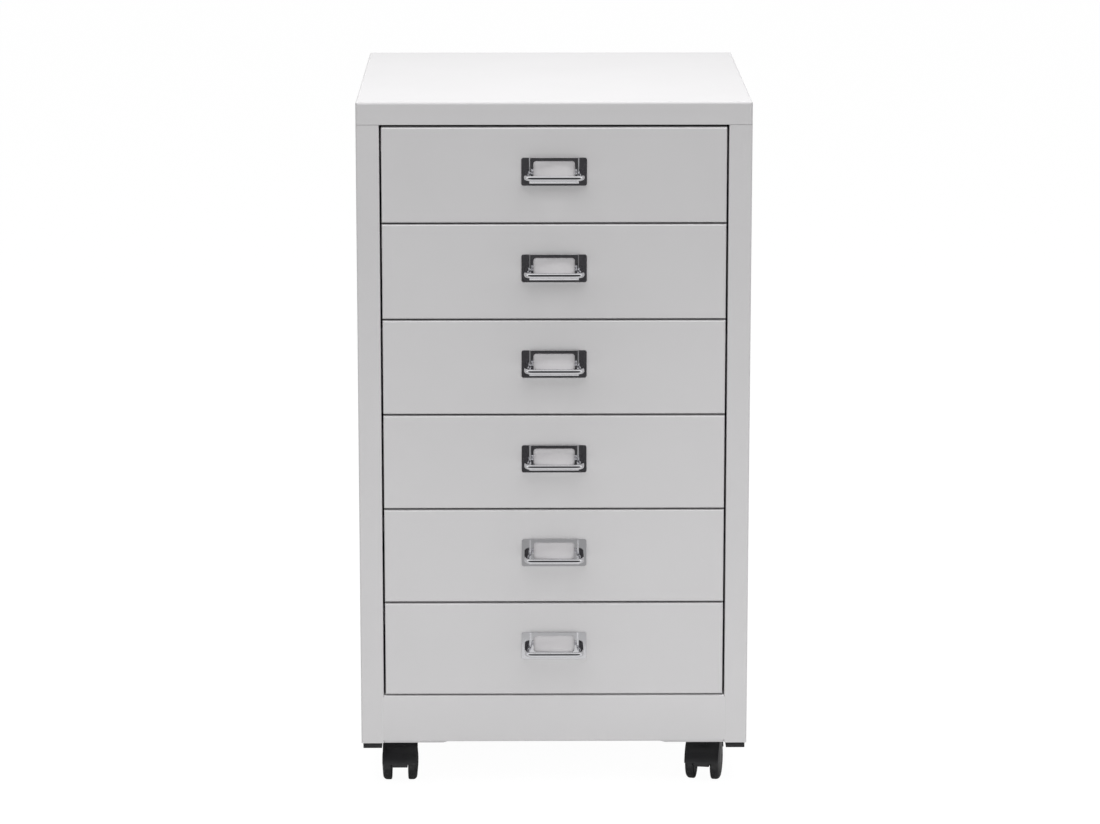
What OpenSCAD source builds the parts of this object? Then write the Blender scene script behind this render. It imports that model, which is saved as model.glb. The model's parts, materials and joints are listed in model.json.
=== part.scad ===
// Small steel drawer cabinet: six drawers with wire pulls, on four twin-wheel castors.
// Millimetres, +Z up, front towards -Y. Origin on the floor, under the middle of the whole outline.

/* [Cabinet] */
// Width over the two side panels
body_w = 380; // [340:5:460]
// Depth from the drawer fronts to the back panel
body_d = 400; // [370:5:520]
// Height from the floor to the top
body_h = 685; // [640:5:760]
// Thickness of the case's sheet steel
sheet_t = 0.8; // [0.7:0.1:1.2]
// Outer radius of the case's bends
bend_r = 1.6; // [1.4:0.1:2.5]
// Outer radius of the top's upper edges
cap_r = 2.2; // [1.5:0.1:4]
// Height of the top's lip
lip_h = 22; // [18:1:30]
// Depth of the return behind the top's front lip
lip_return = 14; // [10:1:18]
// Hairline seam between the top's lip and the panels under it
seam = 0.3; // [0.2:0.1:0.6]
// Height of the folded tab that laps behind the top's lip
tab_h = 15; // [10:1:17]
// Set-back of that tab from the panel's front and rear ends
tab_inset = 18; // [16:1:30]
// Width of each front post
post_w = 22.3; // [20:0.1:28]
// Depth of the post's return flange
post_return = 20; // [18:1:28]
// Width of the side panel's rear flange
rear_flange = 15; // [12:1:25]
// Margin of the back panel inside the outline
back_margin = 2; // [1.7:0.1:5]
// Height of the rail under the lowest drawer
plinth_h = 47.2; // [40:0.1:60]
// Depth of the rail's upper return
plinth_return = 15; // [10:1:18]
// Height of the base panel's side flanges
base_flange = 12; // [8:1:20]

/* [Drawers] */
// Gap beside each drawer front
side_gap = 2; // [1:0.1:3]
// Gap between neighbouring drawer fronts
row_gap = 1.75; // [1:0.05:2.5]
// Gap over the top drawer front
head_gap = 2.5; // [1.2:0.1:3.5]
// Gap under the lowest drawer front
foot_gap = 1.4; // [0.8:0.1:2.5]
// Thickness of the drawer front as a folded pan
front_depth = 16; // [12:1:17]
// Width of the pan's rear lips
front_lip = 14; // [13:1:18]
// Thickness of the tray's sheet steel
tray_t = 0.7; // [0.6:0.1:1]
// Height of the tray's floor above the front's lower edge
tray_lift = 6; // [4:0.5:10]
// Depth of the tray's rim below the front's upper edge
tray_drop = 12; // [10:0.5:16]
// Width of the folded rim that slides in the runner
rim_w = 9.4; // [8:0.1:12]
// Height of the rim's outer leg
rim_leg = 13; // [10:0.5:16]
// Length of tray that stays inside the case at full travel
keep_in = 86; // [75:1:110]

/* [Runners] */
// Thickness of the runners and rear uprights
runner_t = 1; // [0.9:0.1:1.5]
// Clearance between the rim and the post's return
rim_clear = 0.8; // [0.7:0.1:1.2]
// Clearance above and below the rim in its runner
slide_clear = 0.4; // [0.35:0.05:0.8]
// Clearance between the tray's side and the runner's flanges
flange_clear = 2; // [1:0.1:4]
// Length of the runner's web that laps the post's return
web_lap = 12; // [8:1:15]
// Height of the pressed stops on rim and runner
stop_rise = 1.2; // [1:0.05:1.25]
// Radius of the pressed stops
stop_r = 3; // [2:0.5:4]
// Distance of the rim's stop from the tray's rear end
stop_inset = 8; // [6:1:14]
// Space left before each stop is touched
stop_gap = 0.5; // [0.3:0.1:1]
// Space between the tray's rear end and the back panel
rear_clear = 12; // [8:1:30]
// Depth of the rear uprights, front to back
upright_d = 24; // [18:1:30]
// Space between the back panel's screws and the uprights
upright_clear = 1; // [0.5:0.5:4]
// Space between the base panel's side flanges and the uprights
upright_foot_gap = 2; // [1:1:8]
// Space between the side panels' upper tabs and the uprights
upright_head_gap = 4; // [1:1:12]

/* [Pulls] */
// Width of the label plate
plate_w = 63; // [58:1:72]
// Height of the label plate
plate_h = 27; // [26:1:32]
// Thickness of the label plate
plate_t = 0.8; // [0.6:0.1:1.2]
// Corner radius of the label plate
plate_r = 2; // [1:0.5:4]
// Height of the label plate's centre above the middle of its drawer front
plate_lift = 3.4; // [0:0.1:6]
// Half width of the plate's raised card channel
channel_half = 23.6; // [22.5:0.1:24]
// Height of the card channel above the flat of the plate
channel_rise = 1.6; // [1.2:0.1:2.5]
// Height of the channel's foot above the plate's lower edge
channel_foot = 2.4; // [2:0.1:3.5]
// Height of the slope that closes the channel's foot
channel_slope = 2.2; // [1.6:0.1:3]
// Width of the window over the card
window_w = 40; // [36:1:42]
// Height of the window over the card
window_h = 16.7; // [14:0.1:18]
// Depth of the window below the plate's upper edge
window_drop = 3; // [2.5:0.1:4]
// Corner radius of the window
window_r = 3; // [1:0.5:5]
// Thickness of the card
card_t = 0.4; // [0.2:0.1:0.8]
// Clearance between the card and the channel's sides
card_clear = 0.5; // [0.3:0.1:1]
// Depth of the card's upper edge below the plate's
card_drop = 1; // [0.5:0.1:2]
// Diameter of the wire pull
wire_d = 5; // [4:0.1:5.5]
// Width over the wire pull
pull_w = 58; // [56.5:0.5:61]
// Reach of the wire pull in front of the drawer fronts
pull_reach = 27; // [22:1:36]
// Radius of the wire's bends, on its centre line
pull_bend = 6; // [4:0.5:8]
// Depth of the wire pull below the plate's upper edge
pull_drop = 16.6; // [14:0.1:19]
// Diameter of the wire's turned-down ends
spigot_d = 3.6; // [3:0.1:3.8]
// Diameter of the peened heads inside the drawer front
head_d = 7; // [6:0.5:9]
// Thickness of the peened heads
head_t = 1.2; // [0.8:0.1:2]

/* [Castors] */
// Diameter of the castor wheels
wheel_d = 40; // [38:1:46]
// Width of each wheel, without its domed cover
wheel_w = 8.9; // [8:0.1:10.5]
// Height of the wheel's domed outer side
dome = 1; // [0.6:0.1:1.6]
// Radius of the wheel's outer edge
tread_r = 3; // [2:0.5:4]
// Space from the wheel's top up to the mounting plate
castor_rise = 8.5; // [8:0.5:12]
// Thickness of the hood's middle web
web_w = 15.5; // [14:0.1:18]
// Clearance between each wheel and the web
wheel_clear = 0.35; // [0.3:0.05:0.8]
// Thickness of the hood over the wheels
hood_t = 1.6; // [1.2:0.1:2]
// Depth of the hood's front edge below the axle
hood_drop = 2.2; // [0:0.1:4]
// Height of the hood's side edges above the axle
hood_side = 1; // [0:0.5:4]
// Height of the hood's rear edge above the axle
hood_rear = 8; // [4:0.5:12]
// Radius of the hub that holds the axle
hub_r = 5.6; // [5:0.1:7]
// Width of the rib over the hood
rib_w = 8; // [5:0.5:12]
// Height of the rib above the hood
rib_rise = 0.8; // [0.4:0.1:1.2]
// Height of the rib's lower end above the axle
rib_start = 14; // [8:1:16]
// Clearance between the wheels' treads and the hood
tread_clear = 0.8; // [0.5:0.1:1.2]
// Distance from the swivel axis to the axle
trail = 16; // [15:0.5:18]
// Diameter of the axle
axle_d = 6; // [5:0.5:8]
// Depth of the axle in each wheel
axle_depth = 7; // [5:0.5:7.5]
// Radial clearance of the axle and of the swivel pin
pin_clear = 0.05; // [0.02:0.01:0.1]
// Diameter of the boss round the swivel pin
boss_d = 14; // [12.5:0.5:16]
// Height of the boss's lower end above the axle
boss_rise = 2; // [1:0.5:3]
// Diameter of the swivel pin
pin_d = 7; // [6:0.5:8]
// Depth of the swivel pin in the hood
pin_depth = 20; // [16:1:21]
// Depth of the bore below the swivel pin
pin_end = 1; // [0.5:0.5:1.5]
// Width across the flats of the stem's hexagon
hex_w = 13; // [12:0.5:15]
// Height of the stem's hexagon
hex_h = 2.6; // [2:0.1:3.5]
// Clearance between the hexagon and the hood
swivel_clear = 0.4; // [0.3:0.1:0.8]
// Diameter of the stem's thread
stem_d = 8; // [6:1:10]
// Length of the stem above the mounting plate's lower face
stem_len = 12; // [11:1:20]
// Clearance of the stem in its holes
stem_clear = 0.25; // [0.1:0.05:0.5]
// Width across the flats of the flanged nut
nut_w = 13; // [12:0.5:15]
// Height of the flanged nut
nut_h = 7; // [6:0.5:9]
// Diameter of the flanged nut's flange
nut_flange_d = 17; // [16:0.5:20]
// Thickness of the flanged nut's flange
nut_flange_t = 1.5; // [1:0.1:2.5]
// Distance of the swivel axes from the side panels' outer faces
castor_x_inset = 37; // [36:1:60]
// Distance of the swivel axes from the front and the back
castor_y_inset = 56; // [46:1:80]
// Thickness of the castors' mounting plates
mount_t = 1.5; // [1.2:0.1:3]
// Width of each mounting plate
mount_w = 63; // [50:1:70]
// Depth of each mounting plate
mount_d = 78; // [74:1:90]
// Length of the chamfer at the mounting plate's inner end
mount_chamfer = 5; // [2:1:8]
// Set-back of the mounting plates from the front and the back
mount_inset = 2; // [2:1:16]

/* [Feet and screws] */
// Width of each foot cap
foot_w = 18.4; // [15:0.1:19]
// Depth of each foot cap
foot_d = 18; // [14:1:20]
// Height of each foot cap under its corner
foot_h = 5.5; // [3:0.5:6]
// Set-back of the foot caps from the outline
foot_inset = 1.7; // [1:0.1:2.5]
// Clearance of the plug to the sheet round it
plug_clear = 0.2; // [0.1:0.1:0.5]
// Set-back of the plug from the cap's inner end
plug_inset = 1.5; // [1:0.5:4]
// Diameter of the back panel's screws
screw_d = 4; // [3:0.5:5]
// Diameter of the screws' heads
screw_head_d = 7.6; // [6:0.2:9]
// Height of the screws' heads
screw_head_t = 2.2; // [1.5:0.1:3]
// Length of the screws under their heads
screw_len = 8; // [5:1:8]
// Distance of the first and last screw from the back panel's ends
screw_inset = 40; // [20:5:80]

/* [Hidden] */
$fn = 64;
eps = 0.01;
drawer_count = 6;
screws_a_side = 3;
// Turn of each castor about its swivel axis, in degrees
castor_turn = [0, -10, 0, 0];
castor_names = ["front_left", "front_right", "rear_left", "rear_right"];

// Outline. The pulls stand out in front and the screws' heads behind, and the whole is centred.
half_w = body_w / 2;
front_y = -(body_d + screw_head_t - pull_reach) / 2;
back_y = front_y + body_d;

// Heights
castor_h = wheel_d + castor_rise;
base_z = castor_h + mount_t;
open_z0 = base_z + plinth_h;
open_z1 = body_h - lip_h;
wall_z1 = open_z1 - seam;
fronts_h = open_z1 - open_z0 - head_gap - foot_gap - (drawer_count - 1) * row_gap;
front_h = fronts_h / drawer_count;
row_pitch = front_h + row_gap;

// Widths inside the case
open_half = half_w - post_w;
front_half = open_half - side_gap;
wall_in = half_w - sheet_t;
web_x = open_half + sheet_t;
rim_x = open_half - rim_clear;
tray_half = rim_x - rim_w;
flange_x = tray_half + flange_clear;

// Depths inside the case
back_in = back_y - 2 * sheet_t;
tray_y0 = front_y + front_depth;
tray_y1 = back_in - rear_clear;
travel = tray_y1 - front_y - keep_in;
runner_y0 = front_y + post_return + stop_gap;
runner_y1 = tray_y1 + stop_gap + runner_t;
rim_stop_y = tray_y1 - stop_inset;
case_stop_y = rim_stop_y - travel - 2 * stop_r - stop_gap;
upright_y1 = back_y - screw_len - upright_clear;
upright_z0 = base_z + base_flange + upright_foot_gap;
upright_z1 = wall_z1 - tab_h / 2 - upright_head_gap;

// Pull
wire_y = front_y - pull_reach + wire_d / 2;
arm_x = (pull_w - wire_d) / 2;
head_y = front_y + sheet_t;

// Castor
axle_z = wheel_d / 2;
wheel_in = web_w / 2 + wheel_clear;
wheel_out = wheel_in + wheel_w;
hood_in_r = axle_z + tread_clear;
hood_out_r = hood_in_r + hood_t;
boss_top = castor_h - hex_h - swivel_clear;
castor_x = half_w - castor_x_inset;
castor_y = [front_y + castor_y_inset, back_y - castor_y_inset];
nut_z = base_z + sheet_t;

paint = "lightgray";
zinc = "silver";
nylon = "#222224";

// Height of the lower edge of a drawer front; the top drawer is number 1.
function front_z(i) = open_z1 - head_gap - front_h - (i - 1) * row_pitch;
function tray_top(i) = front_z(i) + front_h - tray_drop;
function plate_z(i) = front_z(i) + front_h / 2 + plate_lift - plate_h / 2;
function pull_z(i) = plate_z(i) + plate_h - pull_drop;
function castor_at(k) = [(k % 2 == 0 ? -1 : 1) * castor_x, castor_y[floor(k / 2)]];

// A straight run of a folded sheet's section, from the origin along +X.
module run(len, t) {
    translate([0, -t / 2])
        square([len, t]);
}

// A quarter bend in a sheet of thickness t, from +X towards +Y, with the outer radius r.
module bend(r, t) {
    rc = r - t / 2;
    translate([0, rc])
        intersection() {
            difference() {
                circle(r = r);
                circle(r = r - t);
            }
            translate([0, -r])
                square([r, r]);
        }
}

// Section of a sheet folded at right angles along its centre line through the given points.
module folded(points, t, r) {
    rc = r - t / 2;
    last = len(points) - 1;
    for (i = [0:last - 1]) {
        step = points[i + 1] - points[i];
        full = norm(step);
        from = i == 0 ? 0 : rc;
        to = i == last - 1 ? full : full - rc;
        translate(points[i])
            rotate(atan2(step[1], step[0]))
                translate([from, 0])
                    run(to - from, t);
    }
    for (i = [1:last - 1]) {
        before = points[i] - points[i - 1];
        after = points[i + 1] - points[i];
        left = before[0] * after[1] - before[1] * after[0] > 0;
        translate(points[i] - before / norm(before) * rc)
            rotate(atan2(before[1], before[0]))
                mirror([0, left ? 0 : 1])
                    bend(r, t);
    }
}

// A square with its two lower corners rounded, from x0 to x1 and y0 to y1.
module round_low(x0, x1, y0, y1, r) {
    translate([x0, y0 + r])
        square([x1 - x0, y1 - y0 - r]);
    translate([x0 + r, y0])
        square([x1 - x0 - 2 * r, r + eps]);
    for (x = [x0 + r, x1 - r])
        translate([x, y0 + r])
            circle(r = r);
}

module round_rect(w, h, r) {
    square([w - 2 * r, h], center = true);
    square([w, h - 2 * r], center = true);
    for (x = [-1, 1], y = [-1, 1])
        translate([x * (w / 2 - r), y * (h / 2 - r)])
            circle(r = r);
}

// Stands a section drawn in X and Z up in the room and extrudes it along +Y.
module along_y(y0, y1) {
    translate([0, y1, 0])
        rotate([90, 0, 0])
            linear_extrude(y1 - y0)
                children();
}

// Stands a section drawn in Y and Z up in the room and extrudes it along +X.
module along_x(x0, x1) {
    translate([x0, 0, 0])
        rotate([90, 0, 90])
            linear_extrude(x1 - x0)
                children();
}

// A block whose front edges are rounded, from the front plane y0 back to y1.
module front_block(half, y0, y1, z0, z1, r) {
    intersection() {
        translate([0, 0, z0])
            linear_extrude(z1 - z0)
                round_low(-half, half, y0, y1, r);
        along_x(-half, half)
            rotate(-90)
                mirror([1, 0])
                    round_low(z0, z1, y0, y1, r);
    }
}

// ---- Case ----

// A block with rounded upper and upright edges, as wide and deep as the case, less a margin.
module cap_block(margin, top, r) {
    half = half_w - margin;
    y0 = front_y + margin;
    y1 = back_y - margin;
    intersection() {
        translate([0, 0, open_z1])
            linear_extrude(top - open_z1)
                translate([0, (y0 + y1) / 2])
                    round_rect(2 * half, y1 - y0, r);
        along_y(y0, y1)
            mirror([0, 1])
                round_low(-half, half, -top, -open_z1, r);
        along_x(-half, half)
            mirror([0, 1])
                round_low(y0, y1, -top, -open_z1, r);
    }
}

module top_panel() {
    color(paint) {
        difference() {
            cap_block(0, body_h, cap_r);
            translate([0, 0, -eps])
                cap_block(sheet_t, body_h - sheet_t + eps, cap_r - sheet_t);
        }
        translate([-wall_in, front_y + sheet_t, open_z1])
            cube([2 * wall_in, lip_return - sheet_t, sheet_t]);
    }
}

// Right-hand side panel: skin, front post with its return, rear flange and upper tab.
module side_panel() {
    mid = sheet_t / 2;
    color(paint) {
        difference() {
            translate([0, 0, castor_h])
                linear_extrude(wall_z1 - castor_h)
                    folded([
                        [open_half + mid, front_y + post_return],
                        [open_half + mid, front_y + mid],
                        [half_w - mid, front_y + mid],
                        [half_w - mid, back_y - sheet_t - mid],
                        [half_w - rear_flange, back_y - sheet_t - mid]
                    ], sheet_t, bend_r);
            screw_places()
                cylinder(d = screw_d, h = 2 * screw_len, center = true);
        }
        translate([wall_in - sheet_t, front_y + tab_inset, wall_z1 - tab_h / 2])
            cube([sheet_t, body_d - 2 * tab_inset, tab_h]);
    }
}

module back_panel() {
    half = half_w - back_margin;
    tab_half = half - tab_inset;
    tab_z0 = wall_z1 - tab_h / 2;
    tab_z1 = wall_z1 + tab_h / 2;
    out = back_y - sheet_t;
    color(paint)
        difference() {
            union() {
                translate([-half, out, base_z])
                    cube([2 * half, sheet_t, wall_z1 - base_z]);
                along_x(-tab_half, tab_half)
                    polygon([
                        [back_y, tab_z0],
                        [back_y, wall_z1],
                        [out, wall_z1],
                        [out, tab_z1],
                        [back_in, tab_z1],
                        [back_in, tab_z0]
                    ]);
            }
            screw_places()
                cylinder(d = screw_d + 2 * stem_clear, h = 2 * screw_len, center = true);
        }
}

// Places its children on each of the back panel's screws, with +Z pointing out of the back.
module screw_places() {
    z0 = base_z + screw_inset;
    z1 = wall_z1 - screw_inset;
    for (side = [-1, 1], k = [0:screws_a_side - 1])
        translate([side * screw_x(), back_y, z0 + (z1 - z0) * k / (screws_a_side - 1)])
            rotate([-90, 0, 0])
                children();
}

function screw_x() = half_w - (rear_flange + sheet_t) / 2;

module back_screws() {
    color(zinc)
        screw_places() {
            cylinder(d = screw_head_d, h = screw_head_t);
            translate([0, 0, -screw_len])
                cylinder(d = screw_d, h = screw_len + eps);
        }
}

module base_panel() {
    y0 = front_y + post_return;
    y1 = back_in + sheet_t - bend_r;
    color(paint)
        difference() {
            translate([0, 0, base_z]) {
                translate([-wall_in, y0, 0])
                    cube([2 * wall_in, y1 - y0, sheet_t]);
                for (side = [0, 1])
                    mirror([side, 0, 0])
                        translate([wall_in - sheet_t, y0, 0])
                            cube([sheet_t, y1 - y0, base_flange]);
            }
            stem_holes();
        }
}

module stem_holes() {
    for (k = [0:3])
        translate([castor_at(k)[0], castor_at(k)[1], castor_h - eps])
            cylinder(d = stem_d + 2 * stem_clear, h = stem_len);
}

module plinth_rail() {
    mid = sheet_t / 2;
    color(paint)
        along_x(-open_half + seam, open_half - seam)
            folded([
                [front_y + post_return, base_z + mid],
                [front_y + mid, base_z + mid],
                [front_y + mid, open_z0 - mid],
                [front_y + plinth_return, open_z0 - mid]
            ], sheet_t, bend_r);
}

// One U-section upright a side; the runners' webs are welded to its inner face.
module rear_uprights() {
    x0 = web_x + runner_t;
    mid = runner_t / 2;
    color(zinc)
        for (side = [0, 1])
            mirror([side, 0, 0])
                translate([0, 0, upright_z0])
                    linear_extrude(upright_z1 - upright_z0)
                        folded([
                            [wall_in, upright_y1 - upright_d + mid],
                            [x0 + mid, upright_y1 - upright_d + mid],
                            [x0 + mid, upright_y1 - mid],
                            [wall_in, upright_y1 - mid]
                        ], runner_t, bend_r);
}

// ---- Runners ----

// Right-hand runners: a channel open towards the tray, lapped onto the post at the front.
module runners() {
    color(zinc)
        for (i = [1:drawer_count]) {
            z0 = tray_top(i) - rim_leg - slide_clear - runner_t;
            z1 = tray_top(i) + slide_clear + runner_t;
            translate([web_x, front_y + post_return - web_lap, z0])
                cube([runner_t, runner_y1 - front_y - post_return + web_lap, z1 - z0]);
            for (z = [z0, z1 - runner_t])
                translate([flange_x, runner_y0, z])
                    cube([web_x + eps - flange_x, runner_y1 - runner_y0, runner_t]);
            translate([flange_x, runner_y1 - runner_t, z0])
                cube([web_x + eps - flange_x, runner_t, z1 - z0]);
            translate([web_x + eps, case_stop_y, tray_top(i) - rim_leg / 2])
                rotate([0, -90, 0])
                    cylinder(r = stop_r, h = stop_rise + eps);
        }
}

// ---- Castor plates, stems and nuts, foot caps ----

module castor_plates() {
    x1 = open_half - seam;
    color(paint)
        difference() {
            for (side = [0, 1], end = [0, 1])
                mirror([side, 0, 0])
                    translate([0, end == 0 ? front_y + mount_inset : back_y - mount_inset - mount_d, 0])
                        along_y(0, mount_d)
                            polygon([
                                [x1, base_z],
                                [x1 - mount_w, base_z],
                                [x1 - mount_w + mount_chamfer, castor_h],
                                [x1, castor_h]
                            ]);
            stem_holes();
        }
}

module castor_stems() {
    color(zinc)
        for (k = [0:3])
            translate([castor_at(k)[0], castor_at(k)[1], 0]) {
                translate([0, 0, castor_h - hex_h])
                    cylinder(d = hex_w / cos(30), h = hex_h, $fn = 6);
                translate([0, 0, castor_h - eps])
                    cylinder(d = stem_d, h = stem_len + eps);
                translate([0, 0, boss_top - pin_depth])
                    cylinder(d = pin_d, h = castor_h - hex_h - boss_top + pin_depth + eps);
            }
}

module castor_nuts() {
    color(zinc)
        for (k = [0:3])
            translate([castor_at(k)[0], castor_at(k)[1], nut_z])
                difference() {
                    union() {
                        cylinder(d = nut_flange_d, h = nut_flange_t);
                        cylinder(d = nut_w / cos(30), h = nut_h, $fn = 6);
                    }
                    translate([0, 0, -eps])
                        cylinder(d = stem_d, h = nut_h + 2 * eps);
                }
}

module foot_caps() {
    x0 = half_w - foot_inset - foot_w;
    plug_x0 = web_x + plug_clear;
    plug_x1 = min(wall_in - sheet_t, x0 + foot_w) - plug_clear;
    color(nylon)
        for (side = [0, 1], end = [0, 1]) {
            y0 = end == 0 ? front_y + foot_inset : back_y - foot_inset - foot_d;
            plug_y0 = end == 0 ? front_y + sheet_t + bend_r : y0 + plug_inset;
            plug_y1 = end == 0 ? y0 + foot_d - plug_inset : back_in - bend_r;
            mirror([side, 0, 0]) {
                translate([x0, y0, castor_h - foot_h])
                    cube([foot_w, foot_d, foot_h]);
                translate([plug_x0, plug_y0, castor_h - eps])
                    cube([plug_x1 - plug_x0, plug_y1 - plug_y0, mount_t + eps]);
            }
        }
}

// ---- Drawers ----

module drawer_tray(i) {
    z0 = front_z(i) + tray_lift;
    z1 = tray_top(i);
    color(paint) {
        difference() {
            translate([-tray_half, tray_y0, z0])
                cube([2 * tray_half, tray_y1 - tray_y0, z1 - z0]);
            translate([-tray_half + tray_t, tray_y0 + tray_t, z0 + tray_t])
                cube([2 * (tray_half - tray_t), tray_y1 - tray_y0 - 2 * tray_t, z1 - z0]);
        }
        for (side = [0, 1])
            mirror([side, 0, 0]) {
                translate([tray_half - tray_t, tray_y0, z1 - tray_t])
                    cube([rim_w + tray_t, tray_y1 - tray_y0, tray_t]);
                translate([rim_x - tray_t, tray_y0, z1 - rim_leg])
                    cube([tray_t, tray_y1 - tray_y0, rim_leg]);
                translate([rim_x - eps, rim_stop_y, z1 - rim_leg / 2])
                    rotate([0, 90, 0])
                        cylinder(r = stop_r, h = stop_rise + eps);
            }
    }
}

module drawer_front(i) {
    z0 = front_z(i);
    z1 = z0 + front_h;
    t = sheet_t;
    color(paint)
        difference() {
            front_block(front_half, front_y, tray_y0, z0, z1, bend_r);
            front_block(front_half - t, front_y + t, tray_y0 - t, z0 + t, z1 - t, bend_r - t);
            translate([-front_half + front_lip, tray_y0 - 2 * t, z0 + front_lip])
                cube([2 * (front_half - front_lip), 3 * t, front_h - 2 * front_lip]);
            pull_holes(i);
        }
}

// Holes for the wire's ends, through the label plate and the drawer front.
module pull_holes(i) {
    for (side = [-1, 1])
        translate([side * arm_x, head_y + eps, pull_z(i)])
            rotate([90, 0, 0])
                cylinder(d = spigot_d, h = sheet_t + plate_t + 2 * eps);
}

// Form of the plate's raised channel, in front of the plane y: sloping sides and foot, open top.
// It starts a little behind that plane, so that it joins or cuts what lies there.
module channel_form(y, foot, top) {
    half = channel_half;
    face = y - channel_rise;
    rear = y + eps;
    intersection() {
        translate([0, 0, foot])
            linear_extrude(top - foot)
                polygon([
                    [-half, rear],
                    [-half, y],
                    [-half + channel_rise, face],
                    [half - channel_rise, face],
                    [half, y],
                    [half, rear]
                ]);
        along_x(-half, half)
            polygon([[rear, foot], [y, foot], [face, foot + channel_slope], [face, top], [rear, top]]);
    }
}

// Pressed plate: a flat frame round a raised channel, whose window shows the card behind it.
module label_plate(i) {
    z0 = plate_z(i);
    z1 = z0 + plate_h;
    face = front_y - plate_t - channel_rise;
    color(zinc)
        difference() {
            union() {
                along_y(front_y - plate_t, front_y)
                    translate([0, z0 + plate_h / 2])
                        round_rect(plate_w, plate_h, plate_r);
                channel_form(front_y - plate_t, z0 + channel_foot, z1);
            }
            channel_form(front_y, z0 + channel_foot, z1 + eps);
            along_y(face - eps, front_y + eps)
                translate([0, z1 - window_drop - window_h / 2])
                    round_rect(window_w, window_h, window_r);
            pull_holes(i);
        }
}

module card(i) {
    half = channel_half - channel_rise - card_clear;
    foot = channel_foot + card_t * channel_slope / channel_rise;
    color("whitesmoke")
        translate([-half, front_y - card_t, plate_z(i) + foot])
            cube([2 * half, card_t, plate_h - foot - card_drop]);
}

// Bent wire: two arms, two bends and the bar, with turned-down ends peened behind the front.
module pull(i) {
    bar = 2 * (arm_x - pull_bend);
    arm_y = front_y - plate_t;
    bend_y = wire_y + pull_bend;
    color(zinc)
        translate([0, 0, pull_z(i)]) {
            translate([-bar / 2 - eps, wire_y, 0])
                rotate([0, 90, 0])
                    cylinder(d = wire_d, h = bar + 2 * eps);
            for (side = [0, 1])
                mirror([side, 0, 0]) {
                    translate([bar / 2, bend_y, 0])
                        rotate([0, 0, -90])
                            rotate_extrude(angle = 90)
                                translate([pull_bend, 0])
                                    circle(d = wire_d);
                    translate([arm_x, arm_y, 0])
                        rotate([90, 0, 0])
                            cylinder(d = wire_d, h = arm_y - bend_y + eps);
                    translate([arm_x, head_y + eps, 0])
                        rotate([90, 0, 0])
                            cylinder(d = spigot_d, h = sheet_t + plate_t + 2 * eps);
                    translate([arm_x, head_y + head_t, 0])
                        rotate([90, 0, 0])
                            cylinder(d = head_d, h = head_t);
                }
        }
}

// ---- Castors ----

// Puts a castor, drawn with its swivel axis on Z and its axle towards -Y, in its place.
module castor_place(k) {
    translate([castor_at(k)[0], castor_at(k)[1], 0])
        rotate(castor_turn[k])
            children();
}

// Extrudes a side view, drawn about the axle with its front towards -X, to both sides of the middle.
module hood_slice(half) {
    translate([half, -trail, axle_z])
        rotate([90, 0, -90])
            mirror([1, 0, 0])
                linear_extrude(2 * half)
                    children();
}

// The area above the hood's lower edge: level in front of the axle, then rising to the rear.
module above_edge(level) {
    far = 2 * hood_out_r;
    polygon([[-far, level], [0, level], [hood_out_r, hood_rear], [far, hood_rear], [far, far], [-far, far]]);
}

module castor_hood(k) {
    color(nylon)
        castor_place(k)
            difference() {
                union() {
                    hood_slice(web_w / 2) {
                        intersection() {
                            circle(r = hood_out_r);
                            above_edge(-hood_drop);
                        }
                        circle(r = hub_r);
                    }
                    hood_slice(rib_w / 2)
                        intersection() {
                            circle(r = hood_out_r + rib_rise);
                            above_edge(rib_start);
                        }
                    hood_slice(wheel_out)
                        intersection() {
                            difference() {
                                circle(r = hood_out_r);
                                circle(r = hood_in_r);
                            }
                            above_edge(hood_side);
                        }
                    translate([0, 0, axle_z + boss_rise])
                        cylinder(d = boss_d, h = boss_top - axle_z - boss_rise);
                }
                translate([0, 0, boss_top - pin_depth - pin_end])
                    cylinder(d = pin_d + 2 * pin_clear, h = pin_depth + pin_end + eps);
                translate([-web_w, -trail, axle_z])
                    rotate([0, 90, 0])
                        cylinder(d = axle_d, h = 2 * web_w);
            }
}

module castor_axle(k) {
    half = wheel_in + axle_depth;
    color(zinc)
        castor_place(k)
            translate([-half, -trail, axle_z])
                rotate([0, 90, 0])
                    cylinder(d = axle_d, h = 2 * half);
}

// One wheel, turned about the axle: flat tread, rounded outer edge, domed side, blind bore.
module castor_wheel(k, side) {
    bore_r = axle_d / 2 + pin_clear;
    flat_r = axle_z - tread_r;
    dome_r = (flat_r * flat_r + dome * dome) / (2 * dome);
    color(nylon)
        castor_place(k)
            mirror([side, 0, 0])
                translate([wheel_in, -trail, axle_z])
                    rotate([0, 90, 0])
                        rotate_extrude()
                            difference() {
                                union() {
                                    square([axle_z, wheel_w - tread_r]);
                                    square([flat_r, wheel_w]);
                                    translate([flat_r, wheel_w - tread_r])
                                        circle(r = tread_r);
                                    intersection() {
                                        translate([0, wheel_w + dome - dome_r])
                                            circle(r = dome_r, $fn = 256);
                                        square([flat_r, wheel_w + dome]);
                                    }
                                }
                                square([bore_r, axle_depth + wheel_clear]);
                            }
}

// ---- Nodes ----

top_panel();
mirror([1, 0, 0]) side_panel();  // left_side_panel
side_panel();  // right_side_panel
back_panel();
base_panel();
plinth_rail();
rear_uprights();
mirror([1, 0, 0]) runners();  // left_runners
runners();  // right_runners
castor_plates();
castor_stems();
castor_nuts();
foot_caps();
back_screws();

for (i = [1:drawer_count]) {
    drawer_tray(i);
    drawer_front(i);
    label_plate(i);
    pull(i);
    card(i);
}

for (k = [0:3]) {
    name = castor_names[k];
    castor_hood(k);
    castor_axle(k);
    castor_wheel(k, 1);
    castor_wheel(k, 0);
}
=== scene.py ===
"""Small steel drawer cabinet on castors: its looks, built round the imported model."""

import json
import math

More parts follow.
